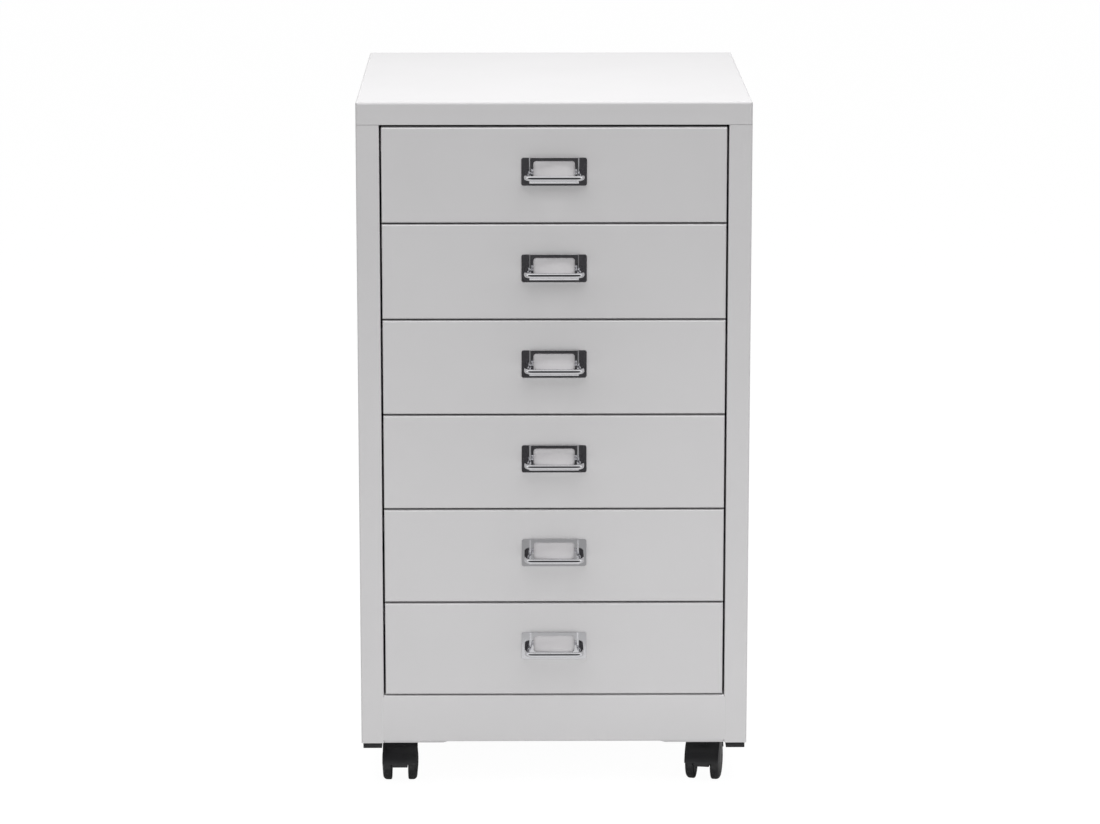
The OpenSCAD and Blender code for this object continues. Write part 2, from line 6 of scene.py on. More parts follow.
import bmesh
import bpy
from mathutils import Matrix, Vector


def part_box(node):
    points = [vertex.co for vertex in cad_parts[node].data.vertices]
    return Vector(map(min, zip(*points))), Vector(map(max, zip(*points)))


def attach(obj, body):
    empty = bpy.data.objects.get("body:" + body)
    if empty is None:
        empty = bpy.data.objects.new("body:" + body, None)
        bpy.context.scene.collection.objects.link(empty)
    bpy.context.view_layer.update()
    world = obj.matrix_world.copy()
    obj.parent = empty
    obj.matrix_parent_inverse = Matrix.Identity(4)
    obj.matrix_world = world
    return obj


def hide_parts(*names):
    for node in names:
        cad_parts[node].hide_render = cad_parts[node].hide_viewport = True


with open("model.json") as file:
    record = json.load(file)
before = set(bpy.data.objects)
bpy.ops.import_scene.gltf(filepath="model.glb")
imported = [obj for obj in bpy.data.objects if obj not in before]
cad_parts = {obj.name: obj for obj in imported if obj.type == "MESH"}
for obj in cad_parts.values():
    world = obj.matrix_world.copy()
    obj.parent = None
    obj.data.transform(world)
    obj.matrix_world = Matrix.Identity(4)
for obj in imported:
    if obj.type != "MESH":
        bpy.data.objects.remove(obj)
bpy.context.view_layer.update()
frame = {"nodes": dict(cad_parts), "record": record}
nodes = frame["nodes"]

# ---- Camera ----
# A long lens at about the height of a standing viewer's chest, a little left of the middle.
# It stands four metres off, so the case's upright edges stay almost parallel.

camera_place = Vector((-0.0359, -4.0, 1.1851))
camera_tilt = math.radians(11.89)
camera_turn = math.radians(-0.48)
lens_length = 131.4
film_width = 36

camera = bpy.data.cameras.new("camera")
camera.lens = lens_length
camera.sensor_width = film_width
camera_object = bpy.data.objects.new("camera", camera)
camera_object.location = camera_place
camera_object.rotation_euler = (math.radians(90) - camera_tilt, 0, camera_turn)
bpy.context.scene.collection.objects.link(camera_object)
bpy.context.scene.camera = camera_object

# ---- Studio ----
# A white table top in a white room. One soft lamp hangs over the cabinet, one lights the table
# before it, and a weak one stands low in front. Polished metal alone sees a dark board, which
# stands at the table's front edge.

front_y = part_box("drawer_1_front")[0].y
table_span = 14.0
table_edge = front_y - 1.22
board_size = (6.0, 2.2)
# Where the painted shade that polished metal sees on the table starts, and where it is full.
painted_shade_starts = front_y - 0.25
painted_shade_ends = front_y - 0.75
# The camera sees the table as a white glow, apart from a small share that takes the shadows.
table_glow = 1.1
glow_share = 0.88
room_white = 1.0
room_fill = 0.3
# Each lamp's name, size, place and aim in metres, and its watts.
lamps = [
    ("overhead_softbox", (1.6, 0.3), (0, -0.42, 2.1), (0, 0.57, 0.685), 28),
    ("table_softbox", (3.0, 0.7), (0, -1.0, 1.05), (0, -1.0001, 0), 7),
    ("low_front_strip", (2.4, 0.3), (0.15, -0.7, 0.16), (0.05, front_y, 0.12), 1.6),
]


def linear(hex_colour):
    """An sRGB colour such as "#c8c7c5" as linear red, green, blue and alpha."""
    parts = [int(hex_colour[i:i + 2], 16) / 255 for i in (1, 3, 5)]
    return tuple(p / 12.92 if p <= 0.04045 else ((p + 0.055) / 1.055) ** 2.4 for p in parts) + (1.0,)


def add_node(tree, kind, settings=None, links=None):
    """Adds a node to a material or the world; settings are its options and values, links its inputs."""
    made = tree.nodes.new(kind)
    for name, value in (settings or {}).items():
        if isinstance(name, int) or name in made.inputs:
            made.inputs[name].default_value = value
        else:
            setattr(made, name, value)
    for name, socket in (links or {}).items():
        tree.links.new(socket, made.inputs[name])
    return made


def new_material(name):
    """An empty material and its node tree."""
    made = bpy.data.materials.new(name)
    made.use_nodes = True
    made.node_tree.nodes.clear()
    return made, made.node_tree


def deselect():
    """Leaves edit mode and selects nothing, so that the next operator acts on its own piece only."""
    if bpy.context.mode != "OBJECT":
        bpy.ops.object.mode_set(mode="OBJECT")
    bpy.ops.object.select_all(action="DESELECT")


def stage_plane(name, size, place, turn, material):
    """A flat part of the studio, which isn't part of the cabinet."""
    deselect()
    bpy.ops.mesh.primitive_plane_add(size=1, location=place, rotation=turn)
    made = bpy.context.object
    made.name = name
    made.scale = (*size, 1)
    bpy.ops.object.transform_apply(location=True, rotation=True, scale=True)
    made.data.materials.append(material)
    return made


# White laminate: the camera sees plain white with a faint shadow. Metal sees the lit surface with a
# painted shade on it, which turns it grey away from the cabinet.
laminate, tree = new_material("white_laminate")
seen = add_node(tree, "ShaderNodeLightPath")
place = add_node(tree, "ShaderNodeTexCoord")
split = add_node(tree, "ShaderNodeSeparateXYZ", {}, {"Vector": place.outputs["Object"]})
fade = add_node(tree, "ShaderNodeMapRange", {"From Min": painted_shade_starts, "From Max": painted_shade_ends},
                {"Value": split.outputs["Y"]})
fade = add_node(tree, "ShaderNodeMath", {"operation": "MULTIPLY"},
                {0: fade.outputs["Result"], 1: seen.outputs["Is Glossy Ray"]})
# Painted shade for metal only: the table's colour goes from #e0e0e0 to #b2b2b2 away from the cabinet.
shade = add_node(tree, "ShaderNodeMix",
                 {"data_type": "RGBA", 6: linear("#e0e0e0"), 7: linear("#b2b2b2")},
                 {0: fade.outputs[0]})
surface = add_node(tree, "ShaderNodeBsdfDiffuse", {}, {"Color": shade.outputs[2]})
white = add_node(tree, "ShaderNodeEmission", {"Color": (1, 1, 1, 1), "Strength": table_glow})
share = add_node(tree, "ShaderNodeMath", {"operation": "MULTIPLY", 1: glow_share},
                 {0: seen.outputs["Is Camera Ray"]})
mixed = add_node(tree, "ShaderNodeMixShader", {},
                 {0: share.outputs[0], 1: surface.outputs[0], 2: white.outputs[0]})
add_node(tree, "ShaderNodeOutputMaterial", {}, {"Surface": mixed.outputs[0]})
table_middle = (0, table_edge + table_span / 2, 0)
stage_plane("table_top", (table_span, table_span), table_middle, (0, 0, 0), laminate)

# Dark felt board, seen only by polished metal as a painted dark reflection: near-black, a little lighter by
# the table's edge.
dark_reflection, tree = new_material("dark_felt")
surface = add_node(tree, "ShaderNodeBsdfDiffuse", {"Color": linear("#4f4e50")})
add_node(tree, "ShaderNodeOutputMaterial", {}, {"Surface": surface.outputs[0]})
board_middle = (0, table_edge, board_size[1] / 2)
board = stage_plane("dark_board", board_size, board_middle, (math.radians(90), 0, 0), dark_reflection)
# Hidden from the camera, from diffuse light and from shadows: it is only a painted dark reflection in
# metal.
board.visible_camera = False
board.visible_diffuse = False
board.visible_shadow = False
board.visible_transmission = False

# Painted walls: white where they are seen, in metal too, and a weak even fill on everything else.
world = bpy.data.worlds.new("white_room")
bpy.context.scene.world = world
world.use_nodes = True
tree = world.node_tree
tree.nodes.clear()
seen = add_node(tree, "ShaderNodeLightPath")
white = add_node(tree, "ShaderNodeBackground", {"Color": (1, 1, 1, 1), "Strength": room_white})
fill = add_node(tree, "ShaderNodeBackground", {"Color": (1, 1, 1, 1), "Strength": room_fill})
shown = add_node(tree, "ShaderNodeMath", {"operation": "MAXIMUM"},
                 {0: seen.outputs["Is Camera Ray"], 1: seen.outputs["Is Glossy Ray"]})
shown = add_node(tree, "ShaderNodeMath", {"operation": "MAXIMUM"},
                 {0: shown.outputs[0], 1: seen.outputs["Is Transmission Ray"]})
mixed = add_node(tree, "ShaderNodeMixShader", {},
                 {0: shown.outputs[0], 1: fill.outputs[0], 2: white.outputs[0]})
add_node(tree, "ShaderNodeOutputWorld", {}, {"Surface": mixed.outputs[0]})


def soft_lamp(name, size, place, aim, watts):
    """A large soft light, turned towards a point, which neither the camera nor metal sees."""
    data = bpy.data.lights.new(name, "AREA")
    data.shape = "RECTANGLE"
    data.size, data.size_y = size
    data.energy = watts
    made = bpy.data.objects.new(name, data)
    made.location = place
    made.rotation_euler = (Vector(aim) - Vector(place)).to_track_quat("-Z", "Y").to_euler()
    made.visible_camera = False
    made.visible_glossy = False
    bpy.context.scene.collection.objects.link(made)


for lamp in lamps:
    soft_lamp(*lamp)
bpy.context.scene.view_settings.view_transform = "Standard"

# ---- Painted steel case ----
# Folded and spot-welded sheet steel: the top, the side panels that fold into the front posts,
# the back, the base and the castor plates, all stove-dried in the same pale grey powder coat.

mm = 0.001
paint_grey = "#d3d2d3"
coat_gloss = (0.38, 0.48)
peel_size = 1.3 * mm
peel_depth = 0.15 * mm
peel_strength = 0.12
cloud_size = 110 * mm
cloud_tints = (0.985, 1.01)


def powder_coat(name, colour, seed):
    """Baked polyester powder: a satin film with a fine orange peel and an almost even colour."""
    made, tree = new_material(name)
    place = add_node(tree, "ShaderNodeTexCoord")
    cloud = add_node(tree, "ShaderNodeTexNoise",
                     {"noise_dimensions": "4D", "W": seed, "Scale": 1 / cloud_size, "Detail": 3.0},
                     {"Vector": place.outputs["Object"]})
    tint = add_node(tree, "ShaderNodeMapRange",
                    {"From Min": 0.3, "From Max": 0.7, "To Min": cloud_tints[0], "To Max": cloud_tints[1]},
                    {"Value": cloud.outputs["Fac"]})
    shade = add_node(tree, "ShaderNodeMix",
                     {"data_type": "RGBA", "blend_type": "MULTIPLY", "Factor": 1.0, 6: linear(colour)},
                     {7: tint.outputs["Result"]})
    peel = add_node(tree, "ShaderNodeTexNoise",
                    {"noise_dimensions": "4D", "W": seed, "Scale": 1 / peel_size, "Detail": 2.0},
                    {"Vector": place.outputs["Object"]})
    gloss = add_node(tree, "ShaderNodeMapRange", {"To Min": coat_gloss[0], "To Max": coat_gloss[1]},
                     {"Value": peel.outputs["Fac"]})
    bump = add_node(tree, "ShaderNodeBump", {"Strength": peel_strength, "Distance": peel_depth},
                    {"Height": peel.outputs["Fac"]})
    skin = add_node(tree, "ShaderNodeBsdfPrincipled", {"IOR": 1.5},
                    {"Base Color": shade.outputs[2], "Roughness": gloss.outputs["Result"],
                     "Normal": bump.outputs["Normal"]})
    add_node(tree, "ShaderNodeOutputMaterial", {}, {"Surface": skin.outputs[0]})
    return made


def finish_node(name, material):
    """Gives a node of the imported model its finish."""
    data = nodes[name].data
    data.materials.clear()
    data.materials.append(material)


case_coat = powder_coat("case_powder_coat", paint_grey, seed=1.0)
for name in ("top_panel", "left_side_panel", "right_side_panel", "back_panel", "base_panel",
             "castor_plates"):
    finish_node(name, case_coat)

# ---- Plinth rail ----
# The folded rail under the lowest drawer. It is butt-welded between the posts and dressed
# before painting, so each joint is only a faint line down the front.

rail_sheet = 0.8 * mm
rail_bend = 1.6 * mm
bend_facets = 5
lower_return = 20 * mm
upper_return = 15 * mm
weld_reach = 1.6 * mm
weld_sink = 0.22 * mm
tiny = 0.01 * mm


def shape(piece):
    """Opens one piece alone in edit mode."""
    deselect()
    bpy.context.view_layer.objects.active = piece
    piece.select_set(True)
    bpy.ops.object.mode_set(mode="EDIT")


def pick(kind, test):
    """In edit mode, selects only the parts of one kind whose corners all pass a test of their place."""
    bpy.ops.mesh.select_mode(type=kind)
    bpy.ops.mesh.select_all(action="DESELECT")
    mesh = bmesh.from_edit_mesh(bpy.context.object.data)
    if kind == "VERT":
        for corner in mesh.verts:
            corner.select = test(corner.co)
    else:
        for part in (mesh.edges if kind == "EDGE" else mesh.faces):
            part.select = all(test(corner.co) for corner in part.verts)
    mesh.select_flush_mode()
    bmesh.update_edit_mesh(bpy.context.object.data)


def upright_sheet(width, height, y, z):
    """A flat upright blank of sheet about the middle of X, all selected and open in edit mode."""
    deselect()
    bpy.ops.mesh.primitive_plane_add(size=1, rotation=(math.radians(90), 0, 0))
    made = bpy.context.object
    bpy.ops.object.transform_apply(location=True, rotation=True, scale=True)
    shape(made)
    bpy.ops.mesh.select_all(action="SELECT")
    bpy.ops.transform.resize(value=(width, 1, height), center_override=(0, 0, 0))
    bpy.ops.transform.translate(value=(0, y, z))
    return made


def draw_out(move, scale=1.0):
    """Extrudes what is selected by a move, then scales it about its own middle."""
    bpy.ops.mesh.extrude_region_move(TRANSFORM_OT_translate={"value": move})
    if scale != 1.0:
        mesh = bmesh.from_edit_mesh(bpy.context.object.data)
        chosen = [corner.co for corner in mesh.verts if corner.select]
        middle = sum(chosen, Vector()) / len(chosen)
        bpy.ops.transform.resize(value=(scale, scale, scale), center_override=middle)


def apply_modifier(piece, kind, **settings):
    """Adds a modifier to a piece and applies it."""
    deselect()
    bpy.context.view_layer.objects.active = piece
    modifier = piece.modifiers.new(kind.lower(), kind)
    for name, value in settings.items():
        setattr(modifier, name, value)
    bpy.ops.object.modifier_apply(modifier=modifier.name)


def smooth(piece, degrees=35):
    """Shades a piece smooth, apart from edges that turn by more than an angle."""
    deselect()
    bpy.context.view_layer.objects.active = piece
    piece.select_set(True)
    bpy.ops.object.shade_smooth_by_angle(angle=math.radians(degrees))


def fit_piece(piece, name, body, slot, material, *stands_for):
    """Names a modelled piece, gives it its finish and lets it ride on a body in place of CAD nodes."""
    piece.name = name
    piece.data.materials.clear()
    piece.data.materials.append(material)
    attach(piece, body)
    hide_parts(*stands_for)


rail_low, rail_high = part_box("plinth_rail")
rail_middle = (rail_low + rail_high) / 2
half_sheet = rail_sheet / 2
face_y = rail_low.y + half_sheet
rail = upright_sheet(2 * rail_high.x, rail_high.z - rail_low.z - rail_sheet, face_y, rail_middle.z)
pick("EDGE", lambda p: p.z > rail_high.z - rail_sheet)
draw_out((0, upper_return - half_sheet, 0))
pick("EDGE", lambda p: p.z < rail_low.z + rail_sheet and p.y < face_y + tiny)
draw_out((0, lower_return - half_sheet, 0))
pick("EDGE", lambda p: abs(p.y - face_y) < tiny)
mesh = bmesh.from_edit_mesh(rail.data)
for edge in mesh.edges:
    edge.select = edge.select and abs(edge.verts[0].co.z - edge.verts[1].co.z) < tiny
mesh.select_flush_mode()
bmesh.update_edit_mesh(rail.data)
bpy.ops.mesh.bevel(offset=rail_bend - half_sheet, segments=bend_facets, affect="EDGES")
for side in (-1, 1):
    end = side * rail_high.x
    pick("EDGE", lambda p: abs(p.x - end) < tiny and p.y < face_y + tiny)
    draw_out((side * weld_reach, weld_sink, 0))
apply_modifier(rail, "SOLIDIFY", thickness=rail_sheet, offset=0)
smooth(rail)
fit_piece(rail, "plinth_rail_folded", "case", "case_paint", case_coat, "plinth_rail")

# ---- Rear uprights and runners ----
# Bright zinc-plated steel. Twelve channels are spot-welded to the uprights and the posts inside
# the case, and the rims of the trays slide in them.

zinc_tints = [(0.3, "#a6abb0"), (0.7, "#c3c6c8")]
zinc_gloss = (0.24, 0.42)
zinc_patch = 9 * mm


def bright_zinc(name, seed):
    """Barrel-plated zinc: a cool grey metal, half dull, in cloudy patches about a centimetre wide."""
    made, tree = new_material(name)
    place = add_node(tree, "ShaderNodeTexCoord")
    patch = add_node(tree, "ShaderNodeTexNoise",
                     {"noise_dimensions": "4D", "W": seed, "Scale": 1 / zinc_patch, "Detail": 4.0},
                     {"Vector": place.outputs["Object"]})
    tint = add_node(tree, "ShaderNodeValToRGB", {}, {"Fac": patch.outputs["Fac"]})
    for k, (share, colour) in enumerate(zinc_tints):
        tint.color_ramp.elements[k].color = linear(colour)
        tint.color_ramp.elements[k].position = share
    gloss = add_node(tree, "ShaderNodeMapRange", {"To Min": zinc_gloss[0], "To Max": zinc_gloss[1]},
                     {"Value": patch.outputs["Fac"]})
    skin = add_node(tree, "ShaderNodeBsdfPrincipled", {"Metallic": 1.0},
                    {"Base Color": tint.outputs["Color"], "Roughness": gloss.outputs["Result"]})
    add_node(tree, "ShaderNodeOutputMaterial", {}, {"Surface": skin.outputs[0]})
    return made


zinc_channels = bright_zinc("zinc_plated_channels", seed=2.0)
for name in ("left_runners", "right_runners", "rear_uprights"):
    finish_node(name, zinc_channels)

# ---- Drawers ----
# Each drawer is a folded front pan on a deep-folded tray, whose rims hang in the runners. The
# trays take the same powder in a slightly darker grey, so their insides are a shade duller.

drawer_count = 6
tray_grey = "#cdccce"
front_coat = powder_coat("drawer_powder_coat", paint_grey, seed=5.0)
tray_coat = powder_coat("tray_powder_coat", tray_grey, seed=9.0)
for i in range(1, drawer_count + 1):
    finish_node(f"drawer_{i}_front", front_coat)
    finish_node(f"drawer_{i}_tray", tray_coat)

# ---- Label plates ----
# Pressed steel card holders with bright chrome plate: a flat frame round a raised channel, which
# is open at the top for the card. The ends of the wire pull hold them to the drawer front.

chrome_grey = "#dcdcdf"
chrome_gloss = (0.04, 0.08)
wave_size = 7 * mm
haze_size = 1.5 * mm
plate_wave = 0.012 * mm
plate_sheet = 0.8 * mm
channel_half = 23.6 * mm
channel_rise = 1.6 * mm
channel_foot = 2.4 * mm
channel_slope = 2.2 * mm
channel_side = 1.1 * mm
crease_turn = math.radians(20)
crease_radius = 0.6 * mm
crease_facets = 3
plate_corner = 2 * mm
corner_facets = 8
window_size = (40 * mm, 16.7 * mm)
window_drop = 3 * mm
window_corner = 3 * mm
edge_break = 0.15 * mm
sharp_edge = math.radians(50)


def chrome_plate(name, wave_depth, seed):
    """Bright nickel and chrome on steel: a hard mirror, a little wavy from the polished metal under it."""
    made, tree = new_material(name)
    place = add_node(tree, "ShaderNodeTexCoord")
    wave = add_node(tree, "ShaderNodeTexNoise",
                    {"noise_dimensions": "4D", "W": seed, "Scale": 1 / wave_size, "Detail": 1.0},
                    {"Vector": place.outputs["Object"]})
    haze = add_node(tree, "ShaderNodeTexNoise",
                    {"noise_dimensions": "4D", "W": seed + 1, "Scale": 1 / haze_size, "Detail": 3.0},
                    {"Vector": place.outputs["Object"]})
    gloss = add_node(tree, "ShaderNodeMapRange", {"To Min": chrome_gloss[0], "To Max": chrome_gloss[1]},
                     {"Value": haze.outputs["Fac"]})
    bump = add_node(tree, "ShaderNodeBump", {"Strength": 1.0, "Distance": wave_depth},
                    {"Height": wave.outputs["Fac"]})
    skin = add_node(tree, "ShaderNodeBsdfPrincipled", {"Metallic": 1.0, "Base Color": linear(chrome_grey)},
                    {"Roughness": gloss.outputs["Result"], "Normal": bump.outputs["Normal"]})
    add_node(tree, "ShaderNodeOutputMaterial", {}, {"Surface": skin.outputs[0]})
    return made


def combine(piece, tool, operation):
    """Boolean of a piece with another solid, which is used up."""
    apply_modifier(piece, "BOOLEAN", object=tool, operation=operation, solver="EXACT")
    bpy.data.objects.remove(tool)


def block(middle, size):
    """A solid block, to be cut or to cut with."""
    deselect()
    bpy.ops.mesh.primitive_cube_add(size=1, location=middle)
    made = bpy.context.object
    made.scale = size
    bpy.ops.object.transform_apply(location=True, rotation=True, scale=True)
    return made


def punch(middle, size, radius):
    """A block whose four edges along Y are rounded, which cuts sheet metal as a press tool does."""
    made = block(middle, size)
    shape(made)
    bpy.ops.mesh.select_mode(type="EDGE")
    mesh = bmesh.from_edit_mesh(made.data)
    for edge in mesh.edges:
        edge.select = abs(edge.verts[0].co.y - edge.verts[1].co.y) > tiny
    mesh.select_flush_mode()
    bmesh.update_edit_mesh(made.data)
    bpy.ops.mesh.bevel(offset=radius, segments=corner_facets, affect="EDGES")
    deselect()
    return made


def line_across(place, normal):
    """In edit mode, adds a straight line of edges across the whole blank."""
    bpy.ops.mesh.select_all(action="SELECT")
    bpy.ops.mesh.bisect(plane_co=place, plane_no=normal)


def copy_moved(piece, matrix):
    """A copy of a piece with its own mesh, moved by a matrix."""
    made = piece.copy()
    made.data = piece.data.copy()
    bpy.context.scene.collection.objects.link(made)
    made.data.transform(matrix)
    return made


def fit_to_drawers(piece, name, slot, material, part):
    """Fits a piece that was modelled on the top drawer there, and a copy to each lower drawer."""
    top_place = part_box(f"drawer_1_{part}")[0]
    for i in range(2, drawer_count + 1):
        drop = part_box(f"drawer_{i}_{part}")[0] - top_place
        made = copy_moved(piece, Matrix.Translation(drop))
        fit_piece(made, f"drawer_{i}_{name}", f"drawer_{i}", slot, material, f"drawer_{i}_{part}")
    fit_piece(piece, f"drawer_1_{name}", "drawer_1", slot, material, f"drawer_1_{part}")


plate_low, plate_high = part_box("drawer_1_label_plate")
plate_middle = (plate_low + plate_high) / 2
plate_size = plate_high - plate_low
foot_z = plate_low.z + channel_foot
raised_half = channel_half - channel_side
raised_z = foot_z + channel_slope
plate = upright_sheet(plate_size.x, plate_size.z, front_y, plate_middle.z)
for x in (-channel_half, -raised_half, raised_half, channel_half):
    line_across((x, 0, 0), (1, 0, 0))
for z in (foot_z, raised_z):
    line_across((0, 0, z), (0, 0, 1))
pick("VERT", lambda p: abs(p.x) < raised_half + tiny and p.z > raised_z - tiny)
bpy.ops.transform.translate(value=(0, -channel_rise, 0))
for side in (-1, 1):
    pick("VERT", lambda p: (
        (abs(p.x - side * channel_half) < tiny and abs(p.z - foot_z) < tiny)
        or (abs(p.x - side * raised_half) < tiny and abs(p.z - raised_z) < tiny)))
    bpy.ops.mesh.vert_connect()
bpy.ops.mesh.select_all(action="SELECT")
bpy.ops.mesh.dissolve_limited(angle_limit=math.radians(1))
bpy.ops.mesh.select_all(action="DESELECT")
bpy.ops.mesh.select_mode(type="EDGE")
bpy.ops.mesh.edges_select_sharp(sharpness=crease_turn)
bpy.ops.mesh.bevel(offset=crease_radius, segments=crease_facets, affect="EDGES")
apply_modifier(plate, "SOLIDIFY", thickness=plate_sheet, offset=1)
punch_depth = 4 * plate_size.y
outline = punch(plate_middle, (plate_size.x, punch_depth, plate_size.z), plate_corner)
combine(plate, outline, "INTERSECT")
window_middle = (0, front_y, plate_high.z - window_drop - window_size[1] / 2)
window = punch(window_middle, (window_size[0], punch_depth, window_size[1]), window_corner)
combine(plate, window, "DIFFERENCE")
apply_modifier(plate, "BEVEL", width=edge_break, segments=2, limit_method="ANGLE", angle_limit=sharp_edge)
smooth(plate, degrees=60)
apply_modifier(plate, "WEIGHTED_NORMAL", mode="FACE_AREA", weight=100, keep_sharp=True)
plate_chrome = chrome_plate("chrome_plated_sheet", plate_wave, seed=3.0)
fit_to_drawers(plate, "card_holder", "chrome", plate_chrome, "label_plate")

# ---- Cards ----
# Blank index cards of plain white board, slipped into the channels from above. Each bows forward
# a little in its window.

card_sheet = 0.3 * mm
card_gap = 0.02 * mm
card_bow = 0.35 * mm
card_lines = 9
card_tints = [(0.3, "#d3d1d3"), (0.7, "#dbd9db")]
fibre_length = 0.5 * mm
fibre_depth = 0.03 * mm


def plain_board(name):
    """Uncoated card: matt, off-white, with faint fibres about half a millimetre long."""
    made, tree = new_material(name)
    place = add_node(tree, "ShaderNodeTexCoord")
    fibre = add_node(tree, "ShaderNodeTexNoise",
                     {"Scale": 1 / fibre_length, "Detail": 4.0, "Roughness": 0.7},
                     {"Vector": place.outputs["Object"]})
    tint = add_node(tree, "ShaderNodeValToRGB", {}, {"Fac": fibre.outputs["Fac"]})
    for k, (share, colour) in enumerate(card_tints):
        tint.color_ramp.elements[k].color = linear(colour)
        tint.color_ramp.elements[k].position = share
    bump = add_node(tree, "ShaderNodeBump", {"Strength": 0.3, "Distance": fibre_depth},
                    {"Height": fibre.outputs["Fac"]})
    skin = add_node(tree, "ShaderNodeBsdfPrincipled", {"Roughness": 0.85, "Specular IOR Level": 0.3},
                    {"Base Color": tint.outputs["Color"], "Normal": bump.outputs["Normal"]})
    add_node(tree, "ShaderNodeOutputMaterial", {}, {"Surface": skin.outputs[0]})
    return made


card_low, card_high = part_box("drawer_1_card")
card_middle = (card_low + card_high) / 2
card_size = card_high - card_low
card = upright_sheet(card_size.x, card_size.z, card_high.y - card_gap, card_middle.z)
for k in range(1, card_lines + 1):
    x = card_low.x + card_size.x * k / (card_lines + 1)
    line_across((x, 0, 0), (1, 0, 0))
    bow = card_bow * (1 - (x / card_high.x) ** 2)
    pick("VERT", lambda p: abs(p.x - x) < tiny)
    bpy.ops.transform.translate(value=(0, -bow, 0))
apply_modifier(card, "SOLIDIFY", thickness=card_sheet, offset=1)
smooth(card)
card_board = plain_board("white_card_board")
fit_to_drawers(card, "index_card", "card", card_board, "card")

# ---- Wire pulls ----
# Bright chrome-plated steel wire, bent twice. Its thinner ends pass through the label plate and
# the drawer front and are peened over inside. A swaged collar on each arm clamps the plate.

wire_radius = 2.5 * mm
wire_bend = 6 * mm
wire_sides = 32
wire_wave = 0.003 * mm
arm_x = 26.5 * mm
bend_steps = 10
# The wire's end from the back of the peened head, in mm: the radius that it starts with, then each
# step's length and the radius that it ends with.
head_start = 2.4
wire_end = [(0.5, 3.5), (0.7, 3.5), (0, 1.8), (1.6, 1.8), (0, 2.8), (0.5, 2.8), (0, 2.5)]

pull_low, pull_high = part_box("drawer_1_pull")
pull_z = (pull_low.z + pull_high.z) / 2
bar_y = pull_low.y + wire_radius
bend_y = bar_y + wire_bend
head_back = pull_high.y
deselect()
bpy.ops.mesh.primitive_circle_add(vertices=wire_sides, radius=head_start * mm, fill_type="NOTHING",
                                  location=(-arm_x, head_back, pull_z),
                                  rotation=(math.radians(90), 0, 0))
pull = bpy.context.object
bpy.ops.object.transform_apply(location=True, rotation=True, scale=True)
shape(pull)
bpy.ops.mesh.select_all(action="SELECT")
lengths = [length for length, radius in wire_end]
radii = [head_start] + [radius for length, radius in wire_end]
reached = head_back
for k in range(len(lengths)):
    draw_out((0, -lengths[k] * mm, 0), radii[k + 1] / radii[k])
    reached -= lengths[k] * mm
draw_out((0, bend_y - reached, 0))
bpy.ops.mesh.spin(steps=bend_steps, angle=math.radians(-90), center=(wire_bend - arm_x, bend_y, pull_z),
                  axis=(0, 0, 1))
draw_out((2 * (arm_x - wire_bend), 0, 0))
bpy.ops.mesh.spin(steps=bend_steps, angle=math.radians(-90), center=(arm_x - wire_bend, bend_y, pull_z),
                  axis=(0, 0, 1))
draw_out((0, reached - bend_y, 0))
for k in reversed(range(len(lengths))):
    draw_out((0, lengths[k] * mm, 0), radii[k] / radii[k + 1])
bpy.ops.mesh.select_all(action="SELECT")
bpy.ops.mesh.fill_holes(sides=0)
bpy.ops.mesh.select_all(action="SELECT")
bpy.ops.mesh.normals_make_consistent(inside=False)
smooth(pull, degrees=40)
wire_chrome = chrome_plate("chrome_plated_wire", wire_wave, seed=6.0)
fit_to_drawers(pull, "wire_pull", "chrome", wire_chrome, "pull")

# ---- Foot caps ----
# Black polythene plugs pressed into the lower ends of the four corner posts. Their soft moulded
# edges show as a thin dark pad under each post.

cap_size = Vector((18.4, 18, 5.5)) * mm
cap_round = 0.35 * mm
polythene_black = "#1d1d1f"
polythene_rough = 0.55
grain_size = 0.35 * mm
grain_depth = 0.05 * mm
blotch_size = 12 * mm
# The blotches take the colour times this much, and the roughness up or down by this much.
blotch_tints = (0.8, 1.25)
blotch_gloss = (-0.06, 0.08)


def moulded_plastic(name, colour, rough, seed):
    """Injection moulded plastic: spark-eroded grain a third of a millimetre wide, under a blotchy gloss."""
    made, tree = new_material(name)
    place = add_node(tree, "ShaderNodeTexCoord")
    grain = add_node(tree, "ShaderNodeTexNoise",
                     {"noise_dimensions": "4D", "W": seed, "Scale": 1 / grain_size, "Detail": 2.0},
                     {"Vector": place.outputs["Object"]})
    blotch = add_node(tree, "ShaderNodeTexNoise",
                      {"noise_dimensions": "4D", "W": seed, "Scale": 1 / blotch_size, "Detail": 4.0},
                      {"Vector": place.outputs["Object"]})
    gloss = add_node(tree, "ShaderNodeMapRange",
                     {"To Min": rough + blotch_gloss[0], "To Max": rough + blotch_gloss[1]},
                     {"Value": blotch.outputs["Fac"]})
    bright = add_node(tree, "ShaderNodeMapRange", {"To Min": blotch_tints[0], "To Max": blotch_tints[1]},
                      {"Value": blotch.outputs["Fac"]})
    shade = add_node(tree, "ShaderNodeMix",
                     {"data_type": "RGBA", "blend_type": "MULTIPLY", "Factor": 1.0, 6: linear(colour)},
                     {7: bright.outputs["Result"]})
    bump = add_node(tree, "ShaderNodeBump", {"Strength": 0.2, "Distance": grain_depth},
                    {"Height": grain.outputs["Fac"]})
    skin = add_node(tree, "ShaderNodeBsdfPrincipled", {"IOR": 1.5},
                    {"Base Color": shade.outputs[2], "Roughness": gloss.outputs["Result"],
                     "Normal": bump.outputs["Normal"]})
    add_node(tree, "ShaderNodeOutputMaterial", {}, {"Surface": skin.outputs[0]})
    return made


